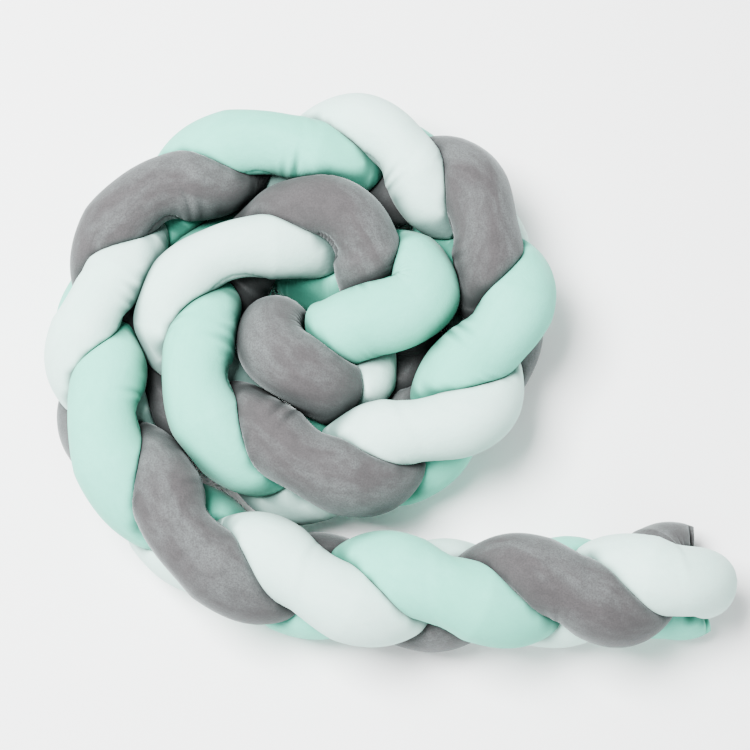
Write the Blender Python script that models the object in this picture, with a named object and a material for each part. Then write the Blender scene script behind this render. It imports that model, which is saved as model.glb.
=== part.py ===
"""A crib bumper: three long stuffed plush tubes in one flat three-strand plait.

The plait stands on its edge and lies in a clockwise coil of about two turns.
Its outer end trails to the front right, its inner end tucks into the middle.
Each tube is one closed solid: a soft round section that squashes where a
neighbour presses on it, flattens where it rests on the surface, and closes
to a wide flat seam at both ends.

All sizes in the tables are millimetres; the objects are built in metres.
"""

import bpy
import numpy as np

MM = 0.001

# ---- driving dimensions (mm) ------------------------------------------------
MID_HEIGHT = 84.0        # height of the plait's middle above the surface
RISE = 51.0              # a tube's axis runs this far above and below it
LOBE_SHARPNESS = 6 / 26  # how square the sideways swing of a tube is
GAP = 2.8                # clear gap between two tubes' faceted skins
SQUASH_EXPONENT = 9.0    # how crisp the edge of a pressed-flat zone is
THICKER = 1.0            # how much more room a thicker tube takes where two press
BEND_SHARE = 0.82        # largest share of a bend's radius that a skin takes
STRETCH = (0.90, 1.18)   # how far a squashed section may shrink or bulge
AXIS_SOFTNESS = 23.0     # a tube rounds off any turn shorter than this
END_TAPER = 46.0         # length over which a tube closes to its end seam
END_THICKNESS = 0.10     # share of the thickness left at the end seam
END_NARROWING = 0.20     # share of the width lost at the end seam
OWN_REACH = 130.0        # a tube can touch itself only this far along itself
OWN_EASE = 150.0         # and presses fully this much further on
ORIGIN_X, ORIGIN_Y = 16.4, 8.2  # centre of the whole plan, in the tables' frame

RINGS = 180              # sections along one tube
SIDES = 16               # facets round one tube

# ---- the plait's crossings, from the trailing end to the middle -------------
# One row for each tube that passes over the top: step number, plan position,
# sideways swing on the outer and inner side of the coil for the upper and for
# the lower passes, and the tube's half thickness there.
CROSSINGS = (
    # step     x     y  out_top in_top out_low in_low  radius
    (-1,     446, -289,    18,    20,    16,     30,   38.0),
    (0,      340, -255,    30,     0,    16,     30,   39.0),
    (1,      230, -267,    34,    24,    16,     26,   39.0),
    (2,       78, -270,    13,    23,    24,     26,   40.0),
    (3,      -72, -263,    28,    31,    10,     28,   38.5),
    (4,     -229, -207,     2,    29,     9,     34,   38.5),
    (5,     -329,  -59,    20,    25,    20,     34,   39.5),
    (6,     -341,   75,    12,    18,    16,     32,   34.5),
    (7,     -276,  222,    14,    25,    10,     30,   37.5),
    (8,     -126,  286,    14,    26,    10,     30,   37.5),
    (9,       31,  280,    28,    30,    10,     46,   34.0),
    (10,     137,  175,    13,    22,    18,     50,   39.0),
    (11,     155,   42,    24,    18,     2,     30,   39.5),
    (12,      56,  -79,    32,    28,    15,     30,   36.0),
    (13,     -84, -118,    13,    22,    30,     38,   38.5),
    (14,    -219,  -19,    22,    24,    40,     46,   38.5),
    (15,    -198,  139,    26,    26,    28,     26,   34.0),
    (16,     -46,  194,    22,    26,    20,     26,   38.0),
    (17,      30,  101,    24,    26,    20,     26,   41.0),
    (18,      30,  101,    24,    26,    20,     26,   35.0),
    (19,      30,  101,    24,    26,    20,     26,   40.3),
)
PLAN_ROWS = 19           # rows whose plan position shapes the coil

# ---- each tube: colour, order in the plait, and its two free ends -----------
# "start" and "finish" are the points its axis passes before and after the
# regular plait, which runs over the steps in "plaited".
STRANDS = {
    "white": {
        "order": 0, "plaited": (-0.1, 15.25), "colour": (0.80, 0.83, 0.83),
        "start": ((398, -258, 62), (401, -260, 88), (385, -256, 118)),
        "finish": ((-115, 156, 118), (-84, 161, 103), (-54, 166, 78),
                   (-24, 168, 50), (4, 152, 35), (12, 122, 34), (2, 92, 36),
                   (-8, 62, 52), (-14, 33, 72), (-16, 6, 86), (-16, -20, 86),
                   (-18, -44, 76)),
    },
    "grey": {
        "order": 1, "plaited": (0.7, 15.05), "colour": (0.33, 0.33, 0.34),
        "start": ((390, -219, 46), (354, -215, 48), (336, -238, 67),
                  (321, -268, 88), (302, -290, 108)),
        "finish": ((-166, 148, 72), (-150, 166, 82), (-129, 184, 93),
                   (-107, 199, 108), (-84, 207, 122), (-60, 206, 131),
                   (-36, 194, 134), (-15, 172, 132), (-6, 144, 122),
                   (-2, 114, 104), (14, 90, 80), (36, 70, 56), (48, 46, 40),
                   (44, 20, 35), (24, -3, 35), (-11, -25, 38), (-36, -26, 52),
                   (-46, -21, 82), (-55, -18, 110), (-79, -9, 131),
                   (-107, 3, 134), (-128, 24, 128), (-131, 44, 112),
                   (-119, 60, 90), (-103, 68, 68)),
    },
    "mint": {
        "order": 2, "plaited": (0.2, 15.2), "colour": (0.51, 0.76, 0.68),
        "start": ((402, -274, 36), (384, -282, 38), (352, -279, 40)),
        "finish": ((-109, 159, 36), (-68, 130, 42), (-27, 119, 55),
                   (4, 139, 72), (32, 136, 94), (57, 120, 118),
                   (66, 98, 130), (57, 77, 135), (34, 67, 136),
                   (4, 61, 135), (-28, 52, 130), (-52, 40, 110),
                   (-66, 27, 84)),
    },
}

COLUMN = np.array(CROSSINGS, dtype=float)
STEP = COLUMN[:, 0]
OUT_TOP, IN_TOP, OUT_LOW, IN_LOW, RADIUS = 3, 4, 5, 6, 7


def natural_cubic(knots, values, at):
    """Smooth curve through values at knots, with no bend at its two ends."""
    n = len(knots)
    h = np.diff(knots)
    a = np.zeros((n, n))
    b = np.zeros((n,) + values.shape[1:])
    a[0, 0] = a[-1, -1] = 1.0
    for i in range(1, n - 1):
        a[i, i - 1:i + 2] = h[i - 1], 2 * (h[i - 1] + h[i]), h[i]
        b[i] = 6 * ((values[i + 1] - values[i]) / h[i]
                    - (values[i] - values[i - 1]) / h[i - 1])
    m = np.linalg.solve(a, b)
    i = np.clip(np.searchsorted(knots, at) - 1, 0, n - 2)
    t, w = at - knots[i], h[i]
    if values.ndim > 1:
        t, w = t[:, None], w[:, None]
    return (m[i] * (w - t) ** 3 / (6 * w) + m[i + 1] * t ** 3 / (6 * w)
            + (values[i] / w - m[i] * w / 6) * (w - t)
            + (values[i + 1] / w - m[i + 1] * w / 6) * t)


def coil(u):
    """Plan point of the plait's middle line at step u, and its outer side."""
    knots, plan = STEP[:PLAN_ROWS], COLUMN[:PLAN_ROWS, 1:3]
    e = 1e-3
    along = natural_cubic(knots, plan, u + e) - natural_cubic(knots, plan, u - e)
    along /= np.linalg.norm(along, axis=1)[:, None]
    outer = np.stack([-along[:, 1], along[:, 0]], 1)
    return natural_cubic(knots, plan, u), outer


def plaited_axis(order, u):
    """Axis of one tube in the regular plait: one wave up and down in every
    three steps, two swings to the side, the tubes a third of a wave apart."""
    wave = np.radians(90 + 120 * (u - order))
    plan, outer = coil(u)
    ease = lambda v: 0.5 + 0.5 * v * (1.5 - 0.5 * v * v)
    column = lambda c: natural_cubic(STEP, COLUMN[:, c], u)
    top, out = ease(np.sin(wave)), ease(np.sin(2 * wave))
    swing = (top * (out * column(OUT_TOP) + (1 - out) * column(IN_TOP))
             + (1 - top) * (out * column(OUT_LOW) + (1 - out) * column(IN_LOW)))
    side = swing * (np.sin(2 * wave) + LOBE_SHARPNESS * np.sin(4 * wave))
    height = MID_HEIGHT + RISE * np.sin(wave)
    return np.column_stack([plan + outer * side[:, None], height])


def soften(curve, pitch):
    """Round off a curve's short turns; its two end points stay in place."""
    reach = int(3 * AXIS_SOFTNESS / pitch)
    bell = np.exp(-0.5 * (np.arange(-reach, reach + 1) * pitch / AXIS_SOFTNESS) ** 2)
    bell /= bell.sum()
    before = 2 * curve[0] - curve[reach:0:-1]
    after = 2 * curve[-1] - curve[-2:-reach - 2:-1]
    padded = np.vstack([before, curve, after])
    return np.stack([np.convolve(padded[:, c], bell, mode="valid")
                     for c in range(3)], 1)


def strand_axis(name, count):
    """Evenly spaced points along one whole tube's axis, with their steps."""
    strand = STRANDS[name]
    first, last = strand["plaited"]
    u = np.arange(first, last + 1e-6, 0.2)
    start = np.array(strand["start"], dtype=float)
    finish = np.array(strand["finish"], dtype=float)
    points = np.vstack([start, plaited_axis(strand["order"], u), finish])
    steps = np.r_[first - 0.25 * np.arange(len(start), 0, -1), u,
                  last + 0.25 * np.arange(1, len(finish) + 1)]
    chord = np.r_[0, np.cumsum(np.linalg.norm(np.diff(points, axis=0), axis=1))]
    fine = np.linspace(0, chord[-1], 6000)
    curve = soften(natural_cubic(chord, points, fine), fine[1])
    fine_steps = np.interp(fine, chord, steps)
    arc = np.r_[0, np.cumsum(np.linalg.norm(np.diff(curve, axis=0), axis=1))]
    even = np.linspace(0, arc[-1], count)
    axis = np.stack([np.interp(even, arc, curve[:, c]) for c in range(3)], 1)
    return axis, np.interp(even, arc, fine_steps), even


def section_frames(axis, outer):
    """Tangent and two cross directions that never twist about the tangent."""
    tangent = np.gradient(axis, axis=0)
    tangent /= np.linalg.norm(tangent, axis=1)[:, None]
    wide = np.empty_like(tangent)
    v = np.array([outer[0], outer[1], 0.0])
    for i, t in enumerate(tangent):
        v = v - (v @ t) * t
        v = v / np.linalg.norm(v)
        wide[i] = v
    return tangent, wide, np.cross(tangent, wide)


def room(axis, radius, arc, rays, others, own):
    """Distance from the axis along each ray to the plane that parts it from
    the nearest point of any other tube, or of the same tube's next turn. The
    plane lies halfway, a little nearer to the thinner of the two."""
    free = np.full(rays.shape[:2], 1e3)
    for i in range(len(axis)):
        for points, their, far in [(*o, None) for o in others] + [own]:
            d = points - axis[i]
            d2 = (d * d).sum(1)
            near = d2 < 260.0 ** 2
            if not near.any():
                continue
            d, share = d[near], (d2 + THICKER * (radius[i] ** 2 - their ** 2))[near]
            reach = rays[i] @ d.T + GAP
            limit = np.where(reach > 1e-6, (share - GAP * GAP)[None, :]
                             / (2 * np.maximum(reach, 1e-6)), 1e3)
            if far is not None:
                away = np.abs(far[near] - arc[i])
                ease = np.clip((away - OWN_REACH) / OWN_EASE, 1e-4, 1)
                ease = ease * ease * (3 - 2 * ease) + 1e-6
                limit = np.where(away[None, :] <= OWN_REACH + 1, 1e3,
                                 limit / ease[None, :])
            free[i] = np.minimum(free[i], limit.min(1))
    return free


def round_radius(name, steps):
    """Radius of one tube where nothing presses it, at its steps."""
    rows = (STEP - STRANDS[name]["order"]) % 3 == 0
    return natural_cubic(STEP[rows], COLUMN[rows, RADIUS], steps)


def coarse_tube(name):
    """Points along one whole tube's axis, their radii and their distances."""
    axis, steps, arc = strand_axis(name, 900)
    return axis, round_radius(name, steps), arc


def skin(name, rings, sides):
    """Rings of skin points round one tube, shape (rings, sides, 3), and its
    axis. Each section keeps its girth: where it is pressed it bulges beside."""
    strand = STRANDS[name]
    axis, steps, arc = strand_axis(name, rings)
    first, last = strand["plaited"]
    outer = coil(np.clip(steps[:1], first, last))[1][0]
    tangent, wide, thick = section_frames(axis, outer)
    turn = np.arange(sides) / sides * 2 * np.pi
    rays = (np.cos(turn)[None, :, None] * wide[:, None, :]
            + np.sin(turn)[None, :, None] * thick[:, None, :])
    radius = round_radius(name, steps)
    others = [coarse_tube(other)[:2] for other in STRANDS if other != name]
    free = room(axis, radius, arc, rays, others, coarse_tube(name))
    bend = np.gradient(tangent, axis=0) / (arc[1] - arc[0])
    inward = np.einsum("rsk,rk->rs", rays, bend)
    free = np.minimum(free, np.where(inward > 1e-4,
                                     BEND_SHARE / np.maximum(inward, 1e-4), 1e3))
    ball = radius.copy()
    circle = np.stack([np.cos(turn), np.sin(turn)], 1)[None]
    for _ in range(12):
        rho = (free ** -SQUASH_EXPONENT
               + ball[:, None] ** -SQUASH_EXPONENT) ** (-1 / SQUASH_EXPONENT)
        outline = rho[:, :, None] * circle
        girth = np.linalg.norm(outline - np.roll(outline, 1, axis=1),
                               axis=2).sum(1)
        ball = np.clip(ball * (2 * np.pi * radius / girth) ** 0.8,
                       radius * STRETCH[0], radius * STRETCH[1])
    end = np.clip(1 - np.minimum(arc, arc[-1] - arc) / END_TAPER, 0, 1)
    thin = END_THICKNESS + (1 - END_THICKNESS) * np.sqrt(1 - end * end)
    narrow = 1 - END_NARROWING * end * end
    points = (axis[:, None]
              + (np.cos(turn) * rho * narrow[:, None])[:, :, None] * wide[:, None]
              + (np.sin(turn) * rho * thin[:, None])[:, :, None] * thick[:, None])
    points[..., 2] = np.maximum(points[..., 2], 0.0)
    return points, axis


def plush(name, colour):
    """Plain matt material in a tube's colour."""
    material = bpy.data.materials.new(name)
    material.use_nodes = True
    shader = material.node_tree.nodes["Principled BSDF"]
    shader.inputs["Base Color"].default_value = (*colour, 1.0)
    shader.inputs["Roughness"].default_value = 0.95
    shader.inputs["Metallic"].default_value = 0.0
    return material


def add_strand(name):
    """Closed solid of one tube: its rings of skin, closed at both ends."""
    points, axis = skin(name, RINGS, SIDES)
    shift = np.array([ORIGIN_X, ORIGIN_Y, 0.0])
    vertices = (np.vstack([points.reshape(-1, 3), axis[:1], axis[-1:]]) - shift) * MM
    start, finish = len(vertices) - 2, len(vertices) - 1
    ring = np.arange(RINGS - 1)[:, None] * SIDES
    k = np.arange(SIDES)[None]
    n = (k + 1) % SIDES
    faces = np.stack([ring + k, ring + n, ring + SIDES + n, ring + SIDES + k],
                     2).reshape(-1, 4).tolist()
    last = (RINGS - 1) * SIDES
    for i in range(SIDES):
        j = (i + 1) % SIDES
        faces.append([j, i, start])
        faces.append([last + i, last + j, finish])
    mesh = bpy.data.meshes.new("strand_" + name)
    mesh.from_pydata(vertices.tolist(), [], faces)
    mesh.update()
    mesh.shade_smooth()
    mesh.materials.append(plush("plush_" + name, STRANDS[name]["colour"]))
    strand = bpy.data.objects.new("strand_" + name, mesh)
    bpy.context.scene.collection.objects.link(strand)
    return strand


def main():
    """Clear the scene and build the three tubes."""
    for item in list(bpy.data.objects):
        bpy.data.objects.remove(item)
    for name in STRANDS:
        add_strand(name)


if __name__ == "__main__":
    main()
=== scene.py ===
"""The looks of a plaited crib bumper, coiled and standing on its edge.

Three long stuffed plush tubes, white, mint and grey, make one flat plait.
Each tube is a closed surface worked out from the plait's own measures: its
axis, its pressed sections, its one lengthwise seam with its gathers, the
folds inside its bends and its sewn-flat ends. All measures are millimetres
until the points go into a mesh.
"""

import logging
from dataclasses import dataclass
from enum import Enum

import bpy
import numpy as np
from mathutils import Matrix, Vector
from numpy.typing import NDArray


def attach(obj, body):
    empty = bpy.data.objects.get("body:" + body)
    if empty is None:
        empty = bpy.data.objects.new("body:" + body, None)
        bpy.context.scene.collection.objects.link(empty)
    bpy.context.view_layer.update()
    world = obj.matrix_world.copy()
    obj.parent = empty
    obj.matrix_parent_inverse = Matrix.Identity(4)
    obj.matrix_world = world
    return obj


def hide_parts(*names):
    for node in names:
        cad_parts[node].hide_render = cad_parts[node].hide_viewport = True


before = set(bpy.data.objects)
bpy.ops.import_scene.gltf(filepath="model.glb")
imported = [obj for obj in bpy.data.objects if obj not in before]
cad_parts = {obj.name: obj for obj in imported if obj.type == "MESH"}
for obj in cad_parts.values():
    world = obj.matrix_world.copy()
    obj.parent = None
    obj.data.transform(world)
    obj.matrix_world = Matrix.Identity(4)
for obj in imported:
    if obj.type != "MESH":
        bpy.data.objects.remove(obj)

Array = NDArray[np.float64]
Point = tuple[float, float, float]
Tint = tuple[float, float, float]
Socket = bpy.types.NodeSocket

MM = 0.001
FAR = 1000.0                           # a distance with nothing in the way
COARSE = 900                           # rows of a spine that is read as a neighbour
ORIGIN = np.array([16.4, 8.2, 0.0])    # middle of the coil, in the tables' own frame
LOG = logging.getLogger("crib_bumper")


class Shade(Enum):
    """The three colours of plush, with the CAD node and record slot of each."""

    WHITE = "white"
    MINT = "mint"
    GREY = "grey"

    @property
    def node(self) -> str:
        """Name of the plain solid that this colour's tube replaces."""
        return f"strand_{self.value}"

    @property
    def slot(self) -> str:
        """Name of the record's material slot for this colour."""
        return f"plush_{self.value}"


def natural_cubic(knots: Array, values: Array, at: Array) -> Array:
    """Smooth curve through values at knots, with no bend at its two ends.

    Args:
        knots: Rising positions of the given values.
        values: One value or one row of values for each knot.
        at: Positions to read the curve at.

    Returns:
        One value or row for each position.
    """
    n = len(knots)
    h = np.diff(knots)
    a = np.zeros((n, n))
    b = np.zeros((n,) + values.shape[1:])
    a[0, 0] = a[-1, -1] = 1.0
    for i in range(1, n - 1):
        a[i, i - 1:i + 2] = h[i - 1], 2 * (h[i - 1] + h[i]), h[i]
        b[i] = 6 * ((values[i + 1] - values[i]) / h[i]
                    - (values[i] - values[i - 1]) / h[i - 1])
    m = np.linalg.solve(a, b)
    i = np.clip(np.searchsorted(knots, at) - 1, 0, n - 2)
    t, w = at - knots[i], h[i]
    if values.ndim > 1:
        t, w = t[:, None], w[:, None]
    return (m[i] * (w - t) ** 3 / (6 * w) + m[i + 1] * t ** 3 / (6 * w)
            + (values[i] / w - m[i] * w / 6) * (w - t)
            + (values[i + 1] / w - m[i + 1] * w / 6) * t)


def soften(curve: Array, pitch: float, softness: float) -> Array:
    """Average a curve along itself with a bell curve, its two ends kept.

    Args:
        curve: Evenly spaced rows.
        pitch: Distance between two rows.
        softness: Half width of the bell, in the unit of pitch.

    Returns:
        The rows after averaging.
    """
    reach = int(3 * softness / pitch)
    bell = np.exp(-0.5 * (np.arange(-reach, reach + 1) * pitch / softness) ** 2)
    bell /= bell.sum()
    before = 2 * curve[0] - curve[reach:0:-1]
    after = 2 * curve[-1] - curve[-2:-reach - 2:-1]
    padded = np.vstack([before, curve, after])
    return np.stack([np.convolve(padded[:, c], bell, mode="valid")
                     for c in range(curve.shape[1])], 1)


def smoothstep(low: float, high: float, value: Array) -> Array:
    """Ease from 0 at low to 1 at high, flat beyond both."""
    t = np.clip((value - low) / (high - low), 0.0, 1.0)
    return t * t * (3 - 2 * t)


def unit(rows: Array) -> Array:
    """Rows scaled to length one."""
    return rows / np.linalg.norm(rows, axis=-1, keepdims=True)


def running_length(points: Array) -> Array:
    """Distance along a chain of points, from its first one."""
    return np.r_[0, np.cumsum(np.linalg.norm(np.diff(points, axis=0), axis=1))]


def untwisted(tangent: Array, first: Array) -> Array:
    """Cross directions along a curve that never twist about it.

    Each is the one before it, less its part along the curve, scaled to length
    one.

    Args:
        tangent: Direction of the curve, one row for each place.
        first: What the first cross direction is worked out from.

    Returns:
        One direction for each place, square to the curve.
    """
    across = np.empty_like(tangent)
    v = first
    for i, t in enumerate(tangent):
        v = v - (v @ t) * t
        v = v / np.linalg.norm(v)
        across[i] = v
    return across


@dataclass(frozen=True)
class Crossing:
    """A place where one tube passes over the top of the plait.

    The sideways swings are those of the tubes on the outer and inner side of
    the coil, while they pass high and while they pass low. The radius is that
    of the tube on top.
    """

    step: int
    x: float
    y: float
    out_top: float
    in_top: float
    out_low: float
    in_low: float
    radius: float


CROSSINGS = tuple(Crossing(*row) for row in (
    # step     x     y  out_top in_top out_low in_low  radius
    (-1,     446, -289,    18,    20,    16,     30,   38.0),
    (0,      340, -255,    30,     0,    16,     30,   39.0),
    (1,      230, -267,    34,    24,    16,     26,   39.0),
    (2,       78, -270,    13,    23,    24,     26,   40.0),
    (3,      -72, -263,    28,    31,    10,     28,   38.5),
    (4,     -229, -207,     2,    29,     9,     34,   38.5),
    (5,     -329,  -59,    20,    25,    20,     34,   39.5),
    (6,     -341,   75,    12,    18,    16,     32,   34.5),
    (7,     -276,  222,    14,    25,    10,     30,   37.5),
    (8,     -126,  286,    14,    26,    10,     30,   37.5),
    (9,       31,  280,    28,    30,    10,     46,   34.0),
    (10,     137,  175,    13,    22,    18,     50,   39.0),
    (11,     155,   42,    24,    18,     2,     30,   39.5),
    (12,      56,  -79,    32,    28,    15,     30,   36.0),
    (13,     -84, -118,    13,    22,    30,     38,   38.5),
    (14,    -219,  -19,    22,    24,    40,     46,   38.5),
    (15,    -198,  139,    26,    26,    28,     26,   34.0),
    (16,     -46,  194,    22,    26,    20,     26,   38.0),
    (17,      30,  101,    24,    26,    20,     26,   41.0),
    (18,      30,  101,    24,    26,    20,     26,   35.0),
    (19,      30,  101,    24,    26,    20,     26,   40.3),
))


@dataclass(frozen=True)
class Plait:
    """The flat three-strand plait, coiled: where its tubes' axes run."""

    mid_height: float = 84.0
    rise: float = 51.0
    lobe_sharpness: float = 6 / 26
    plan_rows: int = 19      # the rows after these only carry a thickness on
    half_step: float = 1e-3  # how far apart the line is read for its direction

    @property
    def steps(self) -> Array:
        """Step number of every crossing."""
        return np.array([c.step for c in CROSSINGS], dtype=float)

    def column(self, name: str, u: Array) -> Array:
        """A named measure of the crossings, read smoothly at steps u."""
        values = np.array([getattr(c, name) for c in CROSSINGS], dtype=float)
        return natural_cubic(self.steps, values, u)

    def coil(self, u: Array) -> tuple[Array, Array]:
        """Plan points of the plait's middle line and the side facing outwards.

        Args:
            u: Steps along the plait.

        Returns:
            Points and unit vectors, both of shape (len(u), 2). The outer side
            is the tangent of the line turned a quarter to the left.
        """
        knots = self.steps[:self.plan_rows]
        plan = np.array([(c.x, c.y) for c in CROSSINGS[:self.plan_rows]], dtype=float)
        ahead = natural_cubic(knots, plan, u + self.half_step)
        behind = natural_cubic(knots, plan, u - self.half_step)
        along = unit(ahead - behind)
        return natural_cubic(knots, plan, u), np.stack([-along[:, 1], along[:, 0]], 1)

    def wave(self, order: int, u: Array) -> Array:
        """Axis of one tube in the regular plait.

        A tube rises and falls once in three steps (sine of the wave angle) and
        swings to the side twice (sine of twice the angle, squared up a little
        by the sine of four times the angle). The three tubes are a third of a
        wave apart. The swing's size eases between the crossings' four columns.

        Args:
            order: Which of the three tubes, 0 to 2.
            u: Steps along the plait.

        Returns:
            Points of shape (len(u), 3).
        """
        angle = np.radians(90 + 120 * (u - order))
        plan, outer = self.coil(u)
        top = smoothstep(-1.0, 1.0, np.sin(angle))
        out = smoothstep(-1.0, 1.0, np.sin(2 * angle))
        high = out * self.column("out_top", u) + (1 - out) * self.column("in_top", u)
        low = out * self.column("out_low", u) + (1 - out) * self.column("in_low", u)
        swing = top * high + (1 - top) * low
        side = swing * (np.sin(2 * angle) + self.lobe_sharpness * np.sin(4 * angle))
        height = self.mid_height + self.rise * np.sin(angle)
        return np.column_stack([plan + outer * side[:, None], height])


@dataclass
class Spine:
    """One tube's axis with its section frames, one row for each section."""

    arc: Array       # distance along the tube
    radius: Array    # of the free, round section
    point: Array     # on the axis
    tangent: Array   # direction of the axis
    bend: Array      # curvature, towards the inside of the bend
    wide: Array      # first cross direction, which never twists about the axis
    thick: Array     # second cross direction, square to the first
    seam: Array      # angle of the seam from the wide direction

    def snug(self) -> Array:
        """How tight each section's bend is: its own radius over the bend's."""
        return np.linalg.norm(self.bend, axis=1) * self.radius

    def at(self, arc: Array) -> "Spine":
        """The same spine, read at other distances along it.

        Args:
            arc: The distances.

        Returns:
            A spine with one row for each distance.
        """
        def read(rows: Array) -> Array:
            """One of the spine's columns at the new distances.

            Args:
                rows: The column, a value or a vector for each of its rows.

            Returns:
                The same for each new distance.
            """
            if rows.ndim == 1:
                return np.interp(arc, self.arc, rows)
            return np.stack([np.interp(arc, self.arc, rows[:, c])
                             for c in range(rows.shape[1])], 1)

        tangent = unit(read(self.tangent))
        wide = read(self.wide)
        wide = unit(wide - (wide * tangent).sum(1, keepdims=True) * tangent)
        return Spine(arc, read(self.radius), read(self.point), tangent, read(self.bend),
                     wide, np.cross(tangent, wide), read(self.seam))

    def divided(self, count: int) -> "Spine":
        """The same spine in a number of evenly spaced rows."""
        return self.at(np.linspace(0, self.arc[-1], count))


class Graph:
    """A material and its nodes, added and linked one call at a time."""

    def __init__(self, name: str) -> None:
        """Start a material with its plain principled shader.

        Args:
            name: What the material is called.
        """
        self.material = bpy.data.materials.new(name)
        self.material.use_nodes = True
        self.nodes = self.material.node_tree.nodes
        self.links = self.material.node_tree.links
        self.shader = self.nodes["Principled BSDF"]

    def add(self, kind: str, output: str, settings: dict[str, str] | None = None,
            **inputs: Socket | float | tuple[float, ...]) -> Socket:
        """Add a node and set it up.

        Args:
            kind: The node's type, without its leading "ShaderNode".
            output: Name of the output to return.
            settings: The node's own options.
            **inputs: A link or a value for each input; a space in its name is
                written as an underscore.

        Returns:
            The output.
        """
        node = self.nodes.new(f"ShaderNode{kind}")
        for name, value in (settings or {}).items():
            setattr(node, name, value)
        for name, value in inputs.items():
            socket = node.inputs[name.replace("_", " ")]
            if isinstance(value, Socket):
                self.links.new(value, socket)
            else:
                socket.default_value = value
        return node.outputs[output]

    def painted(self, name: str, output: str = "Fac") -> Socket:
        """A value painted on the piece's points."""
        return self.add("Attribute", output, {"attribute_name": name})

    def noise(self, where: Socket, scale: float, detail: float, rough: float,
              distortion: float = 0.0) -> Socket:
        """A noise pattern, in features per unit of the places it reads."""
        return self.add("TexNoise", "Fac", Vector=where, Scale=scale, Detail=detail,
                        Roughness=rough, Distortion=distortion)

    def spread(self, value: Socket, low: float, high: float, top: float) -> Socket:
        """Ease from 0 where a value is at low to a top share where it is at high."""
        return self.add("MapRange", "Result", {"interpolation_type": "SMOOTHSTEP"},
                        Value=value, From_Min=low, From_Max=high, To_Min=0.0, To_Max=top)

    def blend(self, share: Socket, first: Socket | tuple[float, ...],
              second: Tint) -> Socket:
        """Go from the first colour to the second by a share."""
        return self.add("Mix", "Result", {"data_type": "RGBA"}, Factor=share,
                        A=first, B=(*second, 1.0))

    def bump(self, height: Socket, strength: float, depth: float, **under: Socket) -> Socket:
        """Raise the surface by a height pattern, depth in metres."""
        return self.add("Bump", "Normal", Height=height, Strength=strength,
                        Distance=depth, **under)


@dataclass(frozen=True)
class Plush:
    """A short-pile plush: its colours and how strongly each effect shows.

    The shares say how far a colour goes from base towards lit in brushed
    patches, and towards deep in strokes, between the pile's tips, and along
    the seam. Between the tubes it turns to a painted shade colour, fully
    where the tubes close in. Patches and strokes are counted per metre along
    the tube and across it, and lie aslant.
    """

    shade: Shade
    base: Tint
    deep: Tint
    lit: Tint
    # painted shade colour, used deep between the tubes
    painted_shade: Tint
    mottle: float
    grain: float
    sheen: float
    sheen_tint: Tint
    stroke_share: float = 0.45
    seam_share: float = 0.55
    painted_shade_share: float = 0.95
    patches: Point = (10.0, 17.0, 17.0)
    patch_slant: Point = (0.0, 0.5, 0.5)
    strokes: Point = (60.0, 95.0, 95.0)
    stroke_slant: Point = (0.0, 0.7, 0.7)
    pile_per_metre: float = 520.0
    pile_height: float = 0.0007
    pile_strength: float = 0.45
    tufts_per_metre: float = 150.0
    tuft_height: float = 0.0012
    tuft_strength: float = 0.30
    roughness: float = 0.95
    gloss: float = 0.12
    sheen_roughness: float = 0.42

    def dress(self) -> bpy.types.Material:
        """Build the material: brushed patches, pile grain, seam line and sheen.

        Returns:
            The material. Patches and strokes follow the cloth, the pile's
            grain follows the piece's own coordinates, and the painted shade
            between the tubes follows the shade mask.
        """
        graph = Graph(self.shade.slot)
        shader = graph.shader
        shader.inputs["Roughness"].default_value = self.roughness
        shader.inputs["Specular IOR Level"].default_value = self.gloss
        shader.inputs["Sheen Roughness"].default_value = self.sheen_roughness
        shader.inputs["Sheen Tint"].default_value = (*self.sheen_tint, 1.0)

        place = graph.add("TexCoord", "Object")
        cloth = graph.painted("cloth", "Vector")
        patches = graph.add("Mapping", "Vector", Vector=cloth, Scale=self.patches,
                            Rotation=self.patch_slant)
        strokes = graph.add("Mapping", "Vector", Vector=cloth, Scale=self.strokes,
                            Rotation=self.stroke_slant)
        pile = graph.noise(place, self.pile_per_metre, 2.0, 0.7)
        tufts = graph.noise(place, self.tufts_per_metre, 3.0, 0.55, 0.6)
        shade_mask = graph.painted("shade_mask")
        # pattern, where it starts, where it is full, its share there, its colour
        layers = (
            (graph.noise(patches, 1.0, 4.0, 0.6, 0.5), 0.40, 0.60, self.mottle, self.lit),
            (graph.noise(strokes, 1.0, 5.0, 0.7, 0.4), 0.40, 0.66,
             self.mottle * self.stroke_share, self.deep),
            (pile, 0.35, 0.70, self.grain, self.deep),
            (graph.painted("seam_line"), 0.0, 1.0, self.seam_share, self.deep),
            # painted shade: the colour goes dark where the tubes close in round the skin
            (shade_mask, 0.08, 0.70, self.painted_shade_share, self.painted_shade),
        )
        colour = (*self.base, 1.0)
        for pattern, low, high, top, tint in layers:
            colour = graph.blend(graph.spread(pattern, low, high, top), colour, tint)
        graph.links.new(colour, shader.inputs["Base Color"])
        # painted shade: the sheen is cut deep between the tubes as well
        sheen = graph.spread(shade_mask, 0.90, 0.45, self.sheen)   # none deep between tubes
        graph.links.new(sheen, shader.inputs["Sheen Weight"])

        fine = graph.bump(pile, self.pile_strength, self.pile_height)
        surface = graph.bump(tufts, self.tuft_strength, self.tuft_height, Normal=fine)
        graph.links.new(surface, shader.inputs["Normal"])
        return graph.material


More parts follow.
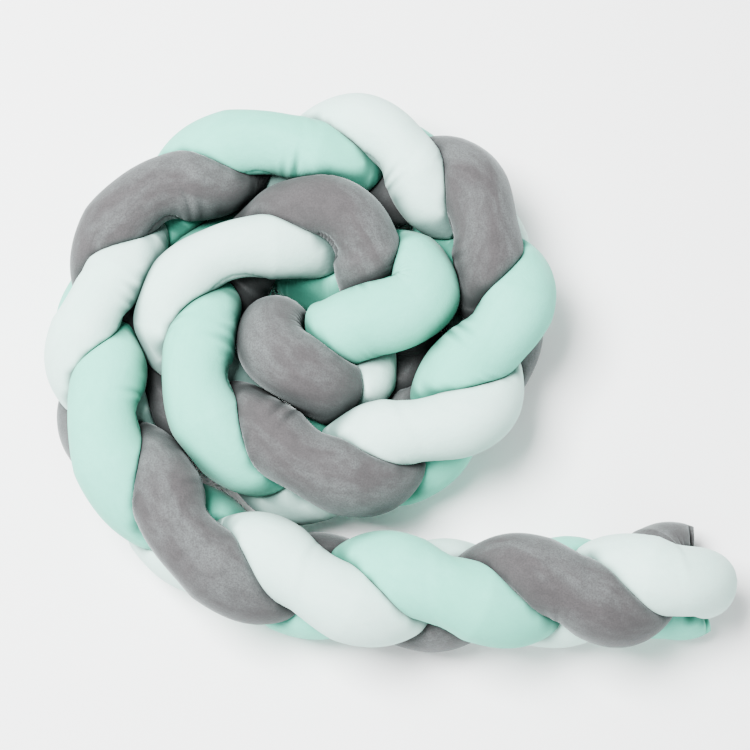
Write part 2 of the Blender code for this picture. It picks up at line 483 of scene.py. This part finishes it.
@dataclass(frozen=True)
class Cloth:
    """The low relief of a tube's cloth (mm): seam, gathers, folds and swells."""

    line_width: float = 2.2        # half width of the seam line's colour
    trough: float = 1.4
    trough_width: float = 3.4
    draw_in: float = 0.6
    draw_in_width: float = 13.0
    gather: float = 1.6
    gather_pitch: float = 10.5
    gather_reach: float = 8.0
    fold: float = 2.2
    fold_pitch: float = 8.5
    swell: float = 0.7
    pressed_out: float = 0.85      # share of a hollow that pressing smooths away

    def gathers(self, s: Array, side: Array, lean: Array, tight: Array) -> Array:
        """Short gathers across the seam, stronger where the bend is tight.

        They are a row of bumps: twice the size of a sine of the distance, less
        1.3. Their spacing drifts, and they fade away from the seam.

        Args:
            s: Distance along the tube.
            side: Distance from the seam.
            lean: How far the row is shifted, other on each side of the seam.
            tight: Share of the bend's radius that the tube fills here.

        Returns:
            Their height.
        """
        drift = 1.4 * np.sin(2 * np.pi * s / 61.0) + 0.8 * np.sin(2 * np.pi * s / 27.0)
        bumps = 2 * np.abs(np.sin(np.pi * s / self.gather_pitch + drift + lean)) - 1.3
        strength = 0.65 + 0.35 * np.sin(2 * np.pi * s / 149.0 + 2.0 * lean)
        pull = 0.25 + 0.75 * smoothstep(0.05, 0.5, tight)
        fade = np.exp(-(side / self.gather_reach) ** 1.4)
        return self.gather * pull * strength * bumps * fade

    def folds(self, s: Array, psi: Array, tight: Array, snug: Array) -> Array:
        """Sharp folds across the tube, inside its tight bends only.

        A fold lies wherever a sine of the distance passes through nought.

        Args:
            s: Distance along the tube.
            psi: Angle from the seam.
            tight: Share of the bend's radius that the tube fills here.
            snug: How tight the section's bend is.

        Returns:
            Their height, nought or less.
        """
        drift = 1.8 * np.sin(2 * np.pi * s / 83.0) + 0.7 * np.sin(3 * psi)
        crease = np.abs(np.sin(np.pi * s / self.fold_pitch + drift))
        depth = smoothstep(0.50, 0.85, snug) * smoothstep(0.05, 0.75, tight)
        return -self.fold * depth * (1 - crease) ** 1.5

    def swells(self, s: Array, psi: Array, order: int) -> Array:
        """Low swells of the filling: products of slow waves along and round.

        Args:
            s: Distance along the tube.
            psi: Angle from the seam.
            order: Which of the three tubes, so that no two are alike.

        Returns:
            Their height.
        """
        broad = np.sin(s / 31.0 + 2 * psi + 1.3 * np.sin(s / 77.0)) * np.sin(s / 53.0 - psi + order)
        small = np.sin(s / 17.0 + 3 * psi + 2.0 * order) * np.sin(s / 23.0 - 2 * psi)
        return self.swell * (broad + 0.5 * small)

    def relief(self, spine: Spine, psi: Array, rays: Array, rho: Array, pressed: Array,
               order: int) -> tuple[Array, Array]:
        """How far the cloth stands out from, or draws into, the plain section.

        The seam is a narrow trough in a wider draw-in. All of the relief is
        smoothed out where another tube presses on the cloth.

        Args:
            spine: The sections.
            psi: Angle from the seam of each ray, -pi to pi.
            rays: The rays.
            rho: Distance of the skin from the axis.
            pressed: How firmly the skin is pressed.
            order: Which of the three tubes.

        Returns:
            The relief and the seam line's strength, both (sections, rays).
        """
        s = spine.arc[:, None]
        side = np.abs(psi) * rho
        line = np.exp(-(side / self.line_width) ** 2)
        seam = (-self.trough * np.exp(-(side / self.trough_width) ** 2)
                - self.draw_in * np.exp(-(side / self.draw_in_width) ** 2))
        tight = np.einsum("rsk,rk->rs", rays, spine.bend) * rho
        gathers = self.gathers(s, side, np.where(psi > 0, 0.9, -0.6), tight)
        folds = self.folds(s, psi, tight, spine.snug()[:, None])
        drawn = (seam + folds + np.minimum(gathers, 0)) * (1 - self.pressed_out * pressed)
        raised = (self.swells(s, psi, order) + np.maximum(gathers, 0)) * (1 - pressed)
        return drawn + raised, line


@dataclass(frozen=True)
class SewnEnd:
    """How a tube's end flattens to a sewn edge (mm)."""

    taper: float = 46.0            # length of the stretch that closes
    thickness: float = 0.10        # share of the thickness left at the edge
    narrowing: float = 0.20        # share of the width lost at the edge
    stitches: float = 6.5          # from the edge to the row of stitches
    pinch: float = 0.45
    pinch_width: float = 2.4
    line_width: float = 1.6
    tuck: float = 1.1
    tuck_pitch: float = 12.5
    tuck_start: float = 7.0
    tuck_reach: float = 17.0

    def closing(self, to_end: Array) -> Array:
        """How far the end has closed, from 0 inside to 1 at the edge."""
        return np.clip(1 - to_end / self.taper, 0, 1)

    def thin(self, to_end: Array) -> Array:
        """Share of the thickness left: a quarter ellipse, pinched at the stitches.

        Args:
            to_end: Distance to the nearer end of the tube.

        Returns:
            One share for each distance.
        """
        closing = self.closing(to_end)
        left = self.thickness + (1 - self.thickness) * np.sqrt(1 - closing * closing)
        return left * (1 - self.pinch * np.exp(-((to_end - self.stitches) / self.pinch_width) ** 2))

    def narrow(self, to_end: Array) -> Array:
        """Share of the width left."""
        return 1 - self.narrowing * self.closing(to_end) ** 2

    def line(self, to_end: Array) -> Array:
        """Strength of the line that the stitches draw."""
        return np.exp(-((to_end - self.stitches) / self.line_width) ** 2)

    def tucks(self, across: Array, turn: Array, to_end: Array) -> Array:
        """Small tucks that run from the stitches into the tube.

        Args:
            across: Place across the flat end.
            turn: Angle of each ray from the section's wide direction.
            to_end: Distance to the nearer end of the tube.

        Returns:
            Their height, (sections, rays).
        """
        wave = np.sin(2 * np.pi * across / self.tuck_pitch + 0.8 * np.sin(across / 7.0))
        fade = smoothstep(0.0, self.tuck_start, to_end) * np.exp(-to_end / self.tuck_reach)
        return self.tuck * wave * fade[:, None] * np.sin(turn)


@dataclass
class Tube:
    """One stuffed plush tube of the plait (mm)."""

    shade: Shade
    order: int
    plaited: tuple[float, float]
    start: tuple[Point, ...]
    finish: tuple[Point, ...]
    plush: Plush
    rings: int = 1500
    sides: int = 64
    axis_rows: int = 6000
    step_pitch: float = 0.2        # between two points of the regular plait, in steps
    end_step: float = 0.25         # how many steps a point of a free end stands for
    crowding: float = 0.6          # how much closer the sides lie at the seam
    end_rings: float = 2.2         # how many more rings there are at an end
    end_rings_reach: float = 30.0
    bend_rings: float = 1.2        # how many more rings there are in a tight bend
    gap: float = 0.3               # between two skins that press on each other
    squash: float = 20.0           # how crisp the edge of a pressed zone is
    squash_rounds: int = 12
    pressed_until: float = 1.14    # room over radius, where nothing presses any more
    plump: float = 1.0             # thicker than the table says, to close slits
    bend_share: float = 0.82       # how much of a bend's radius the skin may fill
    stretch: tuple[float, float] = (0.90, 1.18)
    softness: float = 23.0         # over how much of its length the axis is averaged
    seam_softness: float = 40.0
    seam_rise: float = 0.5
    seam_drop: float = 0.0018
    near: float = 260.0            # how far off a neighbour's axis still counts
    own_reach: float = 130.0       # a tube doesn't press on itself nearer than this
    own_ease: float = 150.0
    # these probes make the mask that the painted shade reads
    probes: tuple[float, ...] = (8.0, 20.0, 40.0, 70.0)   # steps out from the skin
    probe_weights: tuple[float, ...] = (1.0, 1.0, 0.8, 0.6)
    probe_rings: int = 5
    probe_sides: int = 4
    plait: Plait = Plait()
    cloth: Cloth = Cloth()
    end: SewnEnd = SewnEnd()

    def axis(self) -> tuple[Array, Array, Array]:
        """The axis: free end, regular plait, free end, rounded off.

        A smooth curve runs through the points and is averaged along itself.

        Returns:
            Even distances along the axis, its points and its steps there.
        """
        first, last = self.plaited
        u = np.arange(first, last + 1e-6, self.step_pitch)
        start, finish = np.array(self.start, float), np.array(self.finish, float)
        points = np.vstack([start, self.plait.wave(self.order, u), finish])
        steps = np.r_[first - self.end_step * np.arange(len(start), 0, -1), u,
                      last + self.end_step * np.arange(1, len(finish) + 1)]
        chord = running_length(points)
        fine = np.linspace(0, chord[-1], self.axis_rows)
        curve = soften(natural_cubic(chord, points, fine), fine[1], self.softness)
        arc = running_length(curve)
        even = np.linspace(0, arc[-1], self.axis_rows)
        point = np.stack([np.interp(even, arc, curve[:, c]) for c in range(3)], 1)
        return even, point, np.interp(even, arc, np.interp(fine, chord, steps))

    def spine(self) -> Spine:
        """The axis with its section frames and the seam's place on each.

        The cross directions start from the plait's outer side and never twist
        about the axis. The seam lies on the inner side of the tube's turns.

        Returns:
            The spine, finely and evenly divided.
        """
        arc, point, step = self.axis()
        rows = [c for c in CROSSINGS if (c.step - self.order) % 3 == 0]
        radius = self.plump + natural_cubic(np.array([c.step for c in rows], float),
                                            np.array([c.radius for c in rows], float), step)
        tangent = unit(np.gradient(point, axis=0))
        bend = np.gradient(tangent, axis=0) / arc[1]
        outer = self.plait.coil(np.clip(step[:1], *self.plaited))[1][0]
        wide = untwisted(tangent, np.append(outer, 0.0))
        thick = np.cross(tangent, wide)
        seam = self.seam_angle(bend, wide, thick, arc[1])
        return Spine(arc, radius, point, tangent, bend, wide, thick, seam)

    def seam_angle(self, bend: Array, wide: Array, thick: Array, pitch: float) -> Array:
        """Angle of the seam in each section, from the wide direction.

        The turning seen from above is averaged along the tube, and the seam
        lies on that side. It is tipped upwards by how tight the turn is, less a
        fixed drop, so that it changes sides underneath.

        Args:
            bend: Curvature of the axis, (sections, 3), one over millimetres.
            wide: The sections' wide directions.
            thick: The sections' thick directions.
            pitch: Distance between two sections.

        Returns:
            The angles, one for each section.
        """
        inner = soften(bend * np.array([1.0, 1.0, 0.0]), pitch, self.seam_softness)
        inner[:, 2] = self.seam_rise * np.linalg.norm(inner, axis=1) - self.seam_drop
        return np.unwrap(np.arctan2((inner * thick).sum(1), (inner * wide).sum(1)))

    def room(self, spine: Spine, rays: Array, others: list[Spine], own: Spine) -> Array:
        """Distance along each ray to the plane that parts it from a neighbour.

        For a neighbour's axis point at offset d, the skin may reach
        (d.d + r.r - n.n - gap.gap) / (2 (ray.d + gap)) along the ray, where r
        and n are this tube's and the neighbour's radius, so the plane lies
        nearer to the thinner one. Points of the tube itself count only from
        far enough along it.

        Args:
            spine: The sections.
            rays: Unit vectors, (sections, rays, 3).
            others: Spines of the other tubes.
            own: This tube's own spine.

        Returns:
            Distances, (sections, rays).
        """
        tiny = 1e-6
        free = np.full(rays.shape[:2], FAR)
        for i, centre in enumerate(spine.point):
            for other in (*others, own):
                d = other.point - centre
                d2 = (d * d).sum(1)
                close = d2 < self.near ** 2
                if not close.any():
                    continue
                share = d2 + spine.radius[i] ** 2 - other.radius ** 2 - self.gap ** 2
                reach = rays[i] @ d[close].T + self.gap
                limit = np.where(reach > tiny, share[close] / (2 * np.maximum(reach, tiny)), FAR)
                if other is own:
                    away = np.abs(own.arc[close] - spine.arc[i])
                    ease = smoothstep(self.own_reach, self.own_reach + self.own_ease, away)
                    limit = np.where(away <= self.own_reach + 1, FAR, limit / (ease + tiny))
                free[i] = np.minimum(free[i], limit.min(1))
        return free

    def sections(self, spine: Spine, turn: Array, rays: Array,
                 free: Array) -> tuple[Array, Array]:
        """Pressed section outlines that keep the tube's girth.

        The outline is the soft minimum of the free room and a round radius,
        (room^-squash + radius^-squash)^(-1 / squash), and the radius grows
        until the outline is as long as the tube's girth.

        Args:
            spine: The sections.
            turn: Angle of each ray from the section's wide direction.
            rays: Unit vectors outwards, (sections, rays, 3).
            free: Distance along each ray to the nearest parting plane.

        Returns:
            Distance of the skin from the axis, and how firmly it is pressed
            there from 0 to 1, both (sections, rays).
        """
        inward = np.einsum("rsk,rk->rs", rays, spine.bend)
        tiny = 1e-4
        free = np.minimum(free, np.where(inward > tiny,
                                         self.bend_share / np.maximum(inward, tiny), FAR))
        radius = spine.radius
        ball = radius.copy()
        circle = np.stack([np.cos(turn), np.sin(turn)], 2)
        for _ in range(self.squash_rounds):
            rho = (free ** -self.squash + ball[:, None] ** -self.squash) ** (-1 / self.squash)
            outline = rho[:, :, None] * circle
            girth = np.linalg.norm(outline - np.roll(outline, 1, axis=1), axis=2).sum(1)
            ball = np.clip(ball * (2 * np.pi * radius / girth) ** 0.8,
                           radius * self.stretch[0], radius * self.stretch[1])
        pressed = 1 - smoothstep(1.0, self.pressed_until, free / ball[:, None])
        return rho, pressed

    def sheltered(self, spine: Spine, points: Array, rays: Array, others: list[Spine],
                  own: Spine) -> Array:
        """How deep the skin lies in the hollows between tubes, from 0 to 1.

        Four steps go straight out from the skin. Each counts by how much
        nearer it comes to another tube's skin than it is long, so a step t
        with a clearance c adds its weight times (t - c) / t. This is worked
        out on some of the rings and sides, and read evenly between them.
        The material paints shade by this mask and cuts its sheen by it.

        Args:
            spine: The sections.
            points: Skin points, (sections, sides, 3).
            rays: Unit vectors outwards, (sections, sides, 3).
            others: Spines of the other tubes.
            own: This tube's own spine.

        Returns:
            The shade mask, (sections, sides).
        """
        rings, sides = points.shape[:2]
        skip = self.probe_sides
        reach, weight = np.array(self.probes), np.array(self.probe_weights)
        picked = np.linspace(0, rings - 1, rings // self.probe_rings).astype(int)
        depth = np.empty((len(picked), sides // skip))
        for row, i in enumerate(picked):
            probe = points[i, ::skip, None] + rays[i, ::skip, None] * reach[:, None]
            clear = np.full(probe.shape[:2], FAR)
            for other in (*others, own):
                far = np.abs(own.arc - spine.arc[i]) > self.own_reach
                keep = far if other is own else slice(None)
                gap = np.linalg.norm(probe[:, :, None] - other.point[keep], axis=3)
                clear = np.minimum(clear, (gap - other.radius[keep]).min(2))
            share = np.clip((reach - clear) / reach, 0.0, 1.0)
            depth[row] = (share * weight).sum(1) / weight.sum()
        rows = np.stack([np.interp(np.arange(rings), picked, depth[:, c])
                         for c in range(depth.shape[1])], 1)
        rows = np.column_stack([rows, rows[:, :1]])
        low, part = np.divmod(np.arange(sides), skip)
        return rows[:, low] * (1 - part / skip) + rows[:, low + 1] * (part / skip)

    def ring_places(self, whole: Spine) -> Array:
        """Distances of the rings, closer together at the ends and in tight bends.

        Args:
            whole: This tube's full spine.

        Returns:
            One distance for each ring.
        """
        s = whole.arc
        ends = (np.exp(-s / self.end_rings_reach)
                + np.exp(-(s[-1] - s) / self.end_rings_reach))
        bends = smoothstep(0.40, 0.80, whole.snug())
        density = 1 + self.end_rings * ends + self.bend_rings * bends
        count = np.r_[0, np.cumsum((density[1:] + density[:-1]) / 2)]
        return np.interp(np.linspace(0, count[-1], self.rings), count, s)

    def skin(self, whole: Spine, others: list[Spine]) -> tuple[Array, dict[str, Array]]:
        """Rings of skin points round the tube.

        A ring's angles start at the seam and lie closer together beside it:
        angle = turn - crowding * sin(turn). Towards both ends the section
        flattens to a sewn edge, drawn in by a row of stitches just inside it.

        Args:
            whole: This tube's full spine.
            others: The other tubes' spines, coarsely divided.

        Returns:
            Points (rings, sides, 3), and what the material reads at each:
            the seam line's strength, the shade mask for the painted shade,
            and the place on the cloth, which is the distance along it and the
            point round a circle.
        """
        spine = whole.at(self.ring_places(whole))
        k = np.arange(self.sides) / self.sides * 2 * np.pi
        around = k - self.crowding * np.sin(k)
        psi = np.where(around > np.pi, around - 2 * np.pi, around)[None, :]
        turn = spine.seam[:, None] + around[None, :]
        rays = (np.cos(turn)[:, :, None] * spine.wide[:, None, :]
                + np.sin(turn)[:, :, None] * spine.thick[:, None, :])
        own = whole.divided(COARSE)
        free = self.room(spine, rays, others, own)
        rho, pressed = self.sections(spine, turn, rays, free)
        relief, line = self.cloth.relief(spine, psi, rays, rho, pressed, self.order)

        to_end = np.minimum(spine.arc, whole.arc[-1] - spine.arc)
        open_share = (1 - self.end.closing(to_end) ** 2)[:, None]
        rho = rho + relief * open_share
        across = np.cos(turn) * rho * self.end.narrow(to_end)[:, None]
        up = np.sin(turn) * rho * self.end.thin(to_end)[:, None]
        up = up + self.end.tucks(across, turn, to_end)
        points = (spine.point[:, None] + across[:, :, None] * spine.wide[:, None]
                  + up[:, :, None] * spine.thick[:, None])
        points[..., 2] = np.maximum(points[..., 2], 0.0)    # flat on the floor

        line = np.maximum(line * open_share, self.end.line(to_end)[:, None])
        along = np.broadcast_to(spine.arc[:, None], turn.shape)
        circle = spine.radius.mean() * np.stack([np.cos(turn), np.sin(turn)], 2)
        cloth = np.dstack([along, circle])
        # the mask here drives the painted shade between the tubes
        return points, {"seam_line": line, "cloth": cloth * MM,
                        "shade_mask": self.sheltered(spine, points, rays, others, own)}

    def build(self, whole: Spine, others: list[Spine]) -> bpy.types.Object:
        """Make the closed mesh, dress it, and put it in its node's place.

        Args:
            whole: This tube's full spine.
            others: The other tubes' spines, coarsely divided.

        Returns:
            The piece.
        """
        points, painted = self.skin(whole, others)
        tips = whole.point[[0, -1]]
        vertices = (np.vstack([points.reshape(-1, 3), tips]) - ORIGIN) * MM
        rings, sides = points.shape[:2]
        ring = np.arange(rings - 1)[:, None] * sides
        k = np.arange(sides)
        n = (k + 1) % sides
        quads = np.stack([ring + k, ring + n, ring + sides + n, ring + sides + k], 2)
        last = (rings - 1) * sides
        start = np.stack([n, k, np.full(sides, rings * sides)], 1)
        finish = np.stack([last + k, last + n, np.full(sides, rings * sides + 1)], 1)
        mesh = bpy.data.meshes.new(f"{self.shade.value}_plush_tube")
        mesh.from_pydata(vertices.tolist(), [],
                         quads.reshape(-1, 4).tolist() + start.tolist() + finish.tolist())
        mesh.update()
        mesh.shade_smooth()
        for name, values in painted.items():
            flat = values.reshape(rings * sides, -1)
            flat = np.vstack([flat, flat[:1], flat[-1:]]).astype(np.float32)
            vector = flat.shape[1] == 3
            layer = mesh.attributes.new(name, "FLOAT_VECTOR" if vector else "FLOAT", "POINT")
            layer.data.foreach_set("vector" if vector else "value", flat.ravel())
        mesh.materials.append(self.plush.dress())
        piece = bpy.data.objects.new(f"{self.shade.value}_plush_tube", mesh)
        bpy.context.scene.collection.objects.link(piece)
        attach(piece, "root")
        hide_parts(self.shade.node)
        low, high = vertices.min(0), vertices.max(0)
        LOG.info("%s: %d points, %.0f mm long, from %s to %s", piece.name, len(vertices),
                 whole.arc[-1], low.round(3).tolist(), high.round(3).tolist())
        return piece


# The darkest colour of each plush is painted shade, used deep between the tubes.
WHITE_PLUSH = Plush(Shade.WHITE, base=(0.55, 0.82, 0.74), deep=(0.43, 0.68, 0.61),
                    lit=(0.64, 0.87, 0.81), painted_shade=(0.09, 0.17, 0.15), mottle=0.40,
                    grain=0.10, sheen=0.15, sheen_tint=(0.92, 1.0, 0.98))
MINT_PLUSH = Plush(Shade.MINT, base=(0.130, 0.62, 0.46), deep=(0.100, 0.52, 0.38),
                   lit=(0.168, 0.68, 0.53), painted_shade=(0.020, 0.13, 0.09), mottle=0.50,
                   grain=0.10, sheen=0.20, sheen_tint=(0.80, 1.0, 0.95))
GREY_PLUSH = Plush(Shade.GREY, base=(0.065, 0.061, 0.063), deep=(0.040, 0.038, 0.039),
                   lit=(0.106, 0.115, 0.116), painted_shade=(0.014, 0.016, 0.016), mottle=0.90,
                   grain=0.60, sheen=0.30, sheen_tint=(0.88, 1.0, 1.0))


def bumper_tubes() -> list[Tube]:
    """The three tubes with the points that their free ends pass through.

    Returns:
        The white, the grey and the mint tube.
    """
    return [
        Tube(Shade.WHITE, 0, (-0.1, 15.25),
             start=((398, -258, 62), (401, -260, 88), (385, -256, 118)),
             finish=((-115, 156, 118), (-84, 161, 103), (-54, 166, 78),
                     (-24, 168, 50), (4, 152, 35), (12, 122, 34), (2, 92, 36),
                     (-8, 62, 52), (-14, 33, 72), (-16, 6, 86), (-16, -20, 86),
                     (-18, -44, 76)),
             plush=WHITE_PLUSH),
        Tube(Shade.GREY, 1, (0.7, 15.05),
             start=((390, -219, 46), (354, -215, 48), (336, -238, 67),
                    (321, -268, 88), (302, -290, 108)),
             finish=((-166, 148, 72), (-150, 166, 82), (-129, 184, 93),
                     (-107, 199, 108), (-84, 207, 122), (-60, 206, 131),
                     (-36, 194, 134), (-15, 172, 132), (-6, 144, 122),
                     (-2, 114, 104), (14, 90, 80), (36, 70, 56), (48, 46, 40),
                     (44, 20, 35), (24, -3, 35), (-11, -25, 38), (-36, -26, 52),
                     (-46, -21, 82), (-55, -18, 110), (-79, -9, 131),
                     (-107, 3, 134), (-128, 24, 128), (-131, 44, 112),
                     (-119, 60, 90), (-103, 68, 68)),
             plush=GREY_PLUSH),
        Tube(Shade.MINT, 2, (0.2, 15.2),
             start=((402, -274, 36), (384, -282, 38), (352, -279, 40)),
             finish=((-109, 159, 36), (-68, 130, 42), (-27, 119, 55),
                     (4, 139, 72), (32, 136, 94), (57, 120, 118),
                     (66, 98, 130), (57, 77, 135), (34, 67, 136),
                     (4, 61, 135), (-28, 52, 130), (-52, 40, 110),
                     (-66, 27, 84)),
             plush=MINT_PLUSH),
    ]


@dataclass(frozen=True)
class Panel:
    """One square light panel that faces the coil (metres)."""

    name: str
    place: Point
    size: float
    watts: float
    aim: Point = (0.0, 0.0, 0.08)

    def hang(self) -> None:
        """Put the panel in its place, turned towards the coil."""
        lamp = bpy.data.lights.new(self.name, "AREA")
        lamp.shape = "SQUARE"
        lamp.size = self.size
        lamp.energy = self.watts
        light = bpy.data.objects.new(self.name, lamp)
        light.location = self.place
        away = Vector(self.place) - Vector(self.aim)
        light.rotation_euler = away.to_track_quat("Z", "Y").to_euler()
        bpy.context.scene.collection.objects.link(light)


@dataclass(frozen=True)
class Studio:
    """A plain pale floor, soft light from above, and the camera."""

    panels: tuple[Panel, ...] = (Panel("panel_above", (-1.1, 0.4, 2.9), 1.4, 470.0),
                                 Panel("panel_front", (0.6, -2.0, 2.2), 1.8, 30.0))
    air_tint: Tint = (0.96, 0.985, 1.0)
    air_strength: float = 0.70
    floor_tint: Tint = (0.97, 0.975, 0.975)
    floor_half: float = 8.0
    distance: float = 2200.0
    elevation: float = 77.5
    focal_pixels: float = 1781.0
    frame_pixels: float = 750.0
    sensor: float = 36.0
    target: Point = (0.0, 0.0, 84.0)

    def camera(self) -> None:
        """Look down at the coil from the front, at the measured elevation."""
        e = np.radians(self.elevation)
        forward = np.array([0.0, np.cos(e), -np.sin(e)])
        upward = np.array([0.0, np.sin(e), np.cos(e)])
        place = (np.array(self.target) - ORIGIN - self.distance * forward) * MM
        lens = bpy.data.cameras.new("camera")
        lens.sensor_width = self.sensor
        lens.lens = self.focal_pixels / self.frame_pixels * self.sensor
        camera = bpy.data.objects.new("camera", lens)
        axes = np.stack([[1.0, 0.0, 0.0], upward, -forward], 1)
        camera.matrix_world = Matrix([[*axes[r], place[r]] for r in range(3)] + [[0, 0, 0, 1]])
        bpy.context.scene.collection.objects.link(camera)
        bpy.context.scene.camera = camera

    def floor(self) -> None:
        """Lay a wide pale floor at the height that the plait stands on."""
        half = self.floor_half
        mesh = bpy.data.meshes.new("floor")
        mesh.from_pydata([(-half, -half, 0), (half, -half, 0), (half, half, 0), (-half, half, 0)],
                         [], [(0, 1, 2, 3)])
        material = bpy.data.materials.new("pale_floor")
        material.use_nodes = True
        shader = material.node_tree.nodes["Principled BSDF"]
        shader.inputs["Base Color"].default_value = (*self.floor_tint, 1.0)
        shader.inputs["Roughness"].default_value = 0.9
        shader.inputs["Specular IOR Level"].default_value = 0.1
        mesh.materials.append(material)
        floor = bpy.data.objects.new("floor", mesh)
        bpy.context.scene.collection.objects.link(floor)

    def lights(self) -> None:
        """Soft light: a broad panel above, a weaker one in front, pale air."""
        for panel in self.panels:
            panel.hang()
        world = bpy.data.worlds.new("pale_air")
        world.use_nodes = True
        sky = world.node_tree.nodes["Background"]
        sky.inputs["Color"].default_value = (*self.air_tint, 1.0)
        sky.inputs["Strength"].default_value = self.air_strength
        bpy.context.scene.world = world


def main() -> None:
    """Build the three tubes and the studio, and note the object's size."""
    logging.basicConfig(level=logging.INFO, format="%(name)s: %(message)s")
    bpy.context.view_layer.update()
    tubes = bumper_tubes()
    spines = {tube.shade: tube.spine() for tube in tubes}
    coarse = {shade: spine.divided(COARSE) for shade, spine in spines.items()}
    for tube in tubes:
        tube.build(spines[tube.shade],
                   [coarse[other.shade] for other in tubes if other is not tube])
    studio = Studio()
    studio.floor()
    studio.lights()
    studio.camera()


if __name__ == "__main__":
    main()
